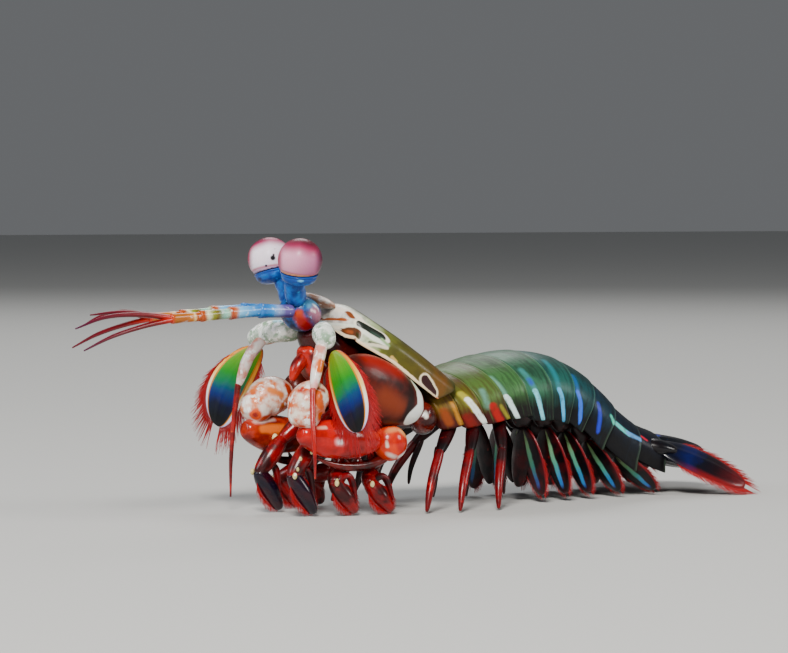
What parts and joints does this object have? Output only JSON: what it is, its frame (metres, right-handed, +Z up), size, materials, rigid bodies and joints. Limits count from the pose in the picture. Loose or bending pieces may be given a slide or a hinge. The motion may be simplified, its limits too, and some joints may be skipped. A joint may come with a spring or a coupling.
{
  "type": "mantis shrimp",
  "caption": "Life-size mantis shrimp as a still figure: front raised on its small limbs, claws folded, back arched and tail fan down.",
  "frame": {"origin": "on the floor, under the middle of the bounding box", "axes": "+X towards the tail, +Z up; the head points along -X and the left side of the animal is -Y"},
  "size_m": [0.1478, 0.0434, 0.0493],
  "materials": {
    "carapace_shell": "glossy shell",
    "green_shell": "glossy shell",
    "teal_shell": "glossy shell",
    "navy_shell": "glossy shell",
    "blue_skin": "glossy shell",
    "cornea": "clear gloss",
    "pale_base": "glossy shell",
    "scale_blade": "glossy shell",
    "mouth_skin": "glossy shell",
    "claw_brown": "glossy shell",
    "claw_red": "glossy shell",
    "club": "glossy shell",
    "limb_maroon": "glossy shell",
    "fan_navy": "glossy shell"
  },
  "bodies": {
    "root": {"abdomen_1": "green_shell", "abdomen_2": "green_shell", "abdomen_3": "teal_shell", "abdomen_4": "teal_shell", "abdomen_5": "navy_shell", "abdomen_6": "navy_shell", "antenna_left": "pale_base", "antenna_right": "pale_base", "antennal_scale_left": "scale_blade", "antennal_scale_right": "scale_blade", "antennule_left": "blue_skin", "antennule_right": "blue_skin", "carapace": "carapace_shell", "chest": "claw_brown", "claw_carpus_left": "club", "claw_carpus_right": "club", "claw_dactyl_left": "club", "claw_dactyl_right": "club", "claw_ischium_left": "pale_base", "claw_ischium_right": "pale_base", "claw_merus_left": "claw_brown", "claw_merus_right": "claw_brown", "claw_propodus_left": "claw_red", "claw_propodus_right": "claw_red", "eye_left": "cornea", "eye_right": "cornea", "eyestalk_left": "blue_skin", "eyestalk_right": "blue_skin", "grasper_1_left": "limb_maroon", "grasper_1_right": "limb_maroon", "grasper_2_left": "limb_maroon", "grasper_2_right": "limb_maroon", "grasper_3_left": "limb_maroon", "grasper_3_right": "limb_maroon", "head": "blue_skin", "leg_1_left": "limb_maroon", "leg_1_right": "limb_maroon", "leg_2_left": "limb_maroon", "leg_2_right": "limb_maroon", "leg_3_left": "limb_maroon", "leg_3_right": "limb_maroon", "mouth": "mouth_skin", "pleopod_1_left": "limb_maroon", "pleopod_1_right": "limb_maroon", "pleopod_2_left": "limb_maroon", "pleopod_2_right": "limb_maroon", "pleopod_3_left": "limb_maroon", "pleopod_3_right": "limb_maroon", "pleopod_4_left": "limb_maroon", "pleopod_4_right": "limb_maroon", "pleopod_5_left": "limb_maroon", "pleopod_5_right": "limb_maroon", "rostral_plate": "carapace_shell", "telson": "fan_navy", "thorax_5": "carapace_shell", "thorax_6": "carapace_shell", "thorax_7": "green_shell", "thorax_8": "green_shell", "uropod_left": "fan_navy", "uropod_right": "fan_navy"}
  },
  "joints": []
}
